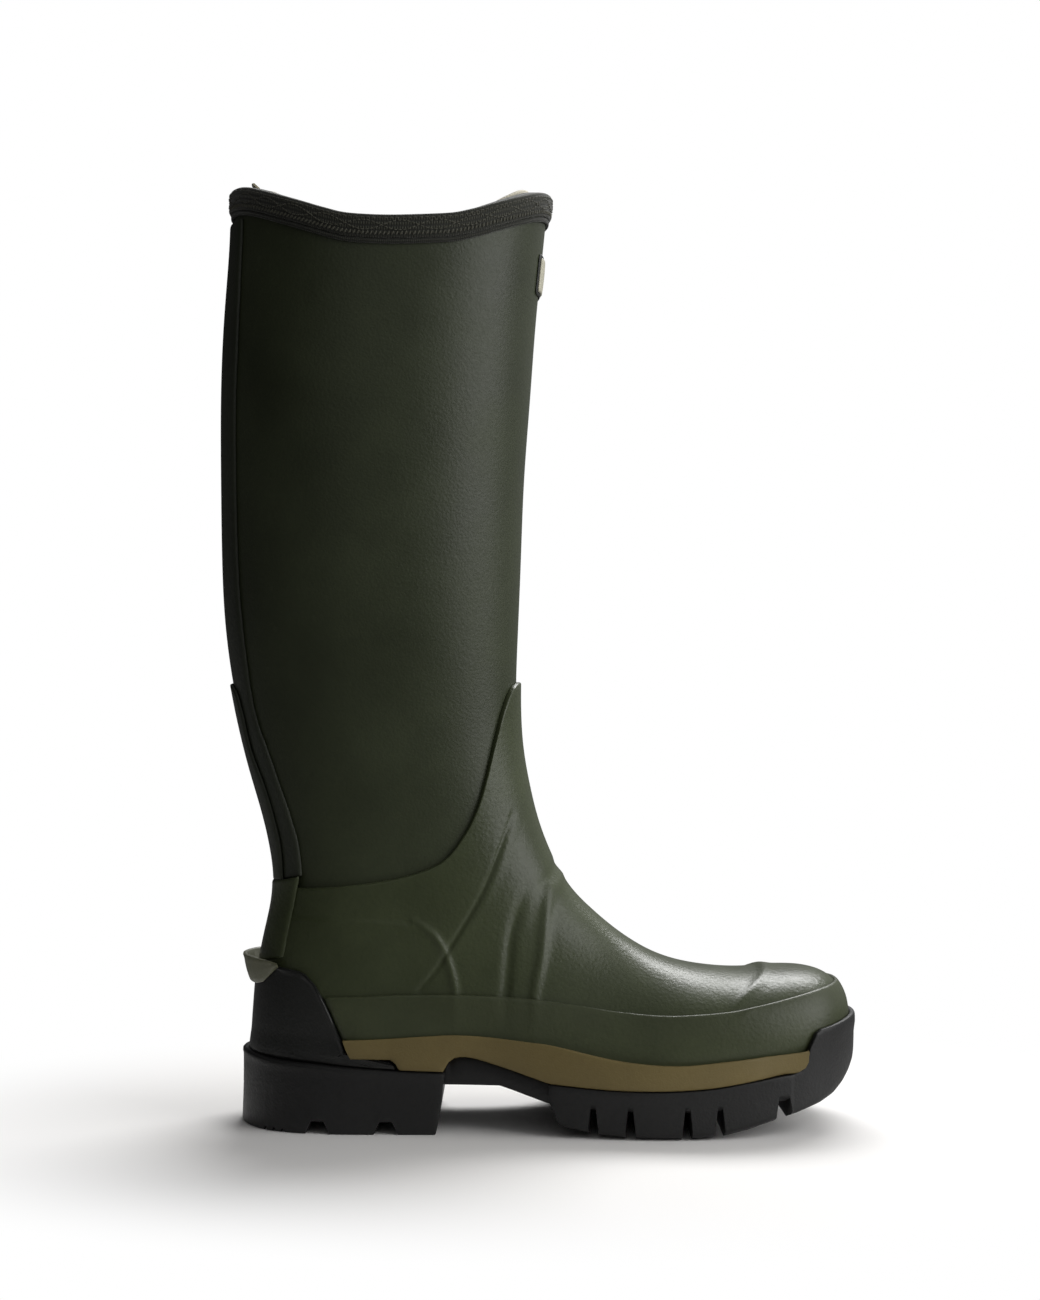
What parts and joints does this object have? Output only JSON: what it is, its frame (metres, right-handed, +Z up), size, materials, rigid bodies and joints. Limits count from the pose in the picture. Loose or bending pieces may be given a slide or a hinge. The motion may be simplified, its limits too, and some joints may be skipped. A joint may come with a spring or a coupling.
{
  "type": "insulated hunting boot",
  "caption": "Tall pull-on rubber boot with insulated lining, mudguard band, heel cup, kick spur, olive midsole and lugged outsole.",
  "frame": {"origin": "centre of the overall box, on the ground under the tread", "axes": "+X to the toe, +Z up, -Y is the outer side of this right boot"},
  "size_m": [0.2915, 0.1152, 0.4286],
  "materials": {
    "leg_shell": "satin, fine leather grain",
    "leg_lining": "matt knit face of neoprene",
    "back_stay": "satin, fine grain",
    "spine_strip": "satin, fine grain",
    "top_binding": "woven webbing",
    "edge_tape": "woven tape",
    "collar_facing": "brushed knit",
    "pull_loop": "woven webbing",
    "badge_backing": "satin",
    "badge_plate": "satin",
    "foot_insulation": "felted foam",
    "heel_counter": "stiffened board",
    "toe_puff": "stiffened board",
    "vamp": "satin, fine leather grain",
    "mudguard": "satin",
    "heel_strip": "satin",
    "heel_cup": "satin",
    "kick_spur": "satin",
    "insole_board": "pressed fibre board",
    "steel_shank": "brushed",
    "footbed": "felt over foam",
    "heel_block": "matt",
    "midsole": "matt",
    "waist_plate": "matt",
    "forefoot_outsole": "matt"
  },
  "bodies": {
    "boot": {"leg_shell": "leg_shell", "leg_lining": "leg_lining", "back_stay": "back_stay", "spine_strip": "spine_strip", "top_binding": "top_binding", "edge_tape": "edge_tape", "collar_facing": "collar_facing", "pull_loop": "pull_loop", "badge_backing": "badge_backing", "badge_plate": "badge_plate", "foot_insulation": "foot_insulation", "heel_counter": "heel_counter", "toe_puff": "toe_puff", "vamp": "vamp", "mudguard": "mudguard", "heel_strip": "heel_strip", "heel_cup": "heel_cup", "kick_spur": "kick_spur", "insole_board": "insole_board", "steel_shank": "steel_shank", "heel_block": "heel_block", "midsole": "midsole", "waist_plate": "waist_plate", "forefoot_outsole": "forefoot_outsole"},
    "footbed": {"footbed": "footbed"}
  },
  "joints": [
    {"name": "footbed_lift", "type": "hinge", "parent": "boot", "child": "footbed", "pos_m": [0.127, 0, 0.046], "axis": [0, 1, 0], "range_deg": [0, 5]}
  ]
}
